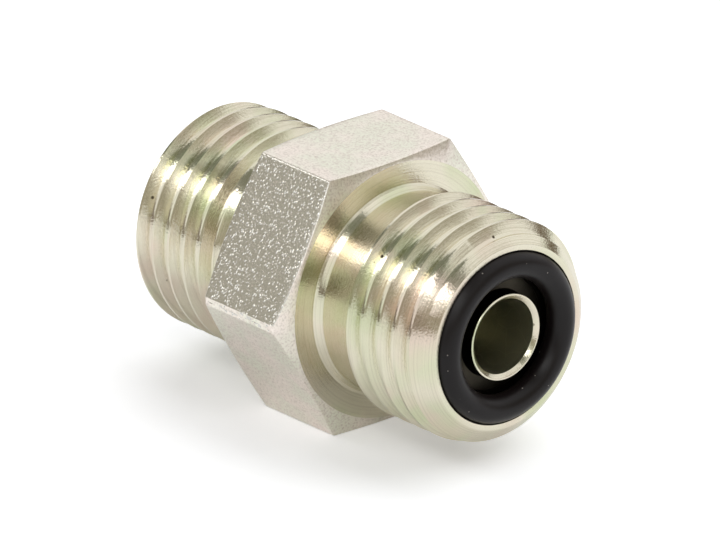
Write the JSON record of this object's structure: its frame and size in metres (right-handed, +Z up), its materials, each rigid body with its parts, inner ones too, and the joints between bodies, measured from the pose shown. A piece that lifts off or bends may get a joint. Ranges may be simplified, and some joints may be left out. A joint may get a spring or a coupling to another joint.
{
  "type": "straight adapter fitting",
  "caption": "Straight hydraulic adapter: a hexagon body with a male thread and an O-ring face seal at each end, and a plain bore through the middle.",
  "frame": {"origin": "on the axis of the bore, in the middle of the hexagon", "axes": "+X along the bore towards the front end, +Z up, square to the two hexagon flats that face up and down, +Y across two opposite corners of the hexagon"},
  "size_m": [0.0284, 0.0192, 0.0168],
  "materials": {
    "plated_steel": "bright zinc plate with a clear passivation that shows faint pink, yellow and green tints, over turned and shot-blasted steel",
    "seal_rubber": "satin moulded rubber"
  },
  "bodies": {
    "root": {"body": "plated_steel", "front_o_ring": "seal_rubber", "rear_o_ring": "seal_rubber"}
  },
  "joints": []
}
